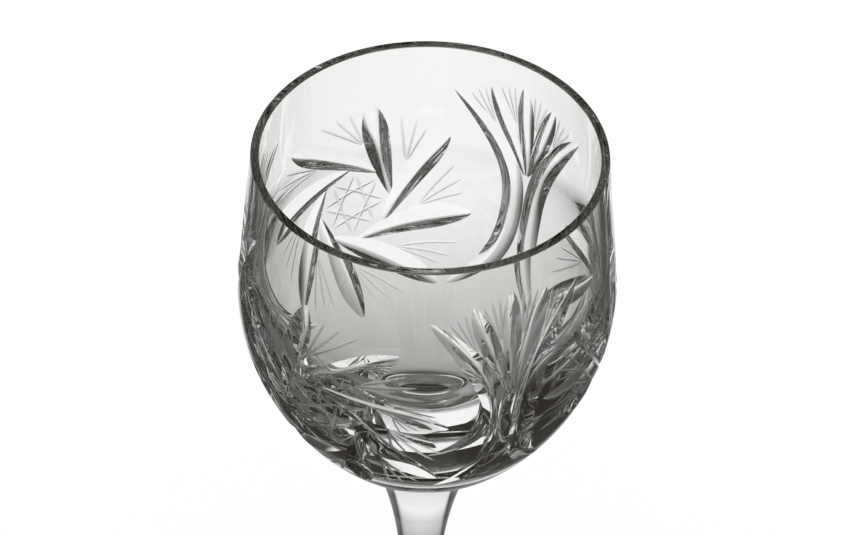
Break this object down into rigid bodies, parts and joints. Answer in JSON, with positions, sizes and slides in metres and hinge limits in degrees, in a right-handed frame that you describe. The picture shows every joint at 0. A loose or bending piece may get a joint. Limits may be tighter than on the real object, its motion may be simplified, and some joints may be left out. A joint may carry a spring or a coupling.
{
  "type": "sherry glass",
  "caption": "Small stemmed glass with a thick cut-crystal bowl of star wheels and fans, a plain waisted stem and a round foot, for drinking sherry.",
  "frame": {"origin": "centre of the circle that the foot stands on, at table level", "axes": "+Z along the glass's axis, from the foot up to the rim; -Y is the side that faces the camera in the picture"},
  "size_m": [0.058, 0.058, 0.127],
  "materials": {
    "cut_crystal": "polished clear crystal with polished mitre cuts",
    "clear_crystal": "fire-polished clear crystal"
  },
  "bodies": {
    "root": {"bowl": "cut_crystal", "stem": "clear_crystal", "foot": "clear_crystal"}
  },
  "joints": []
}
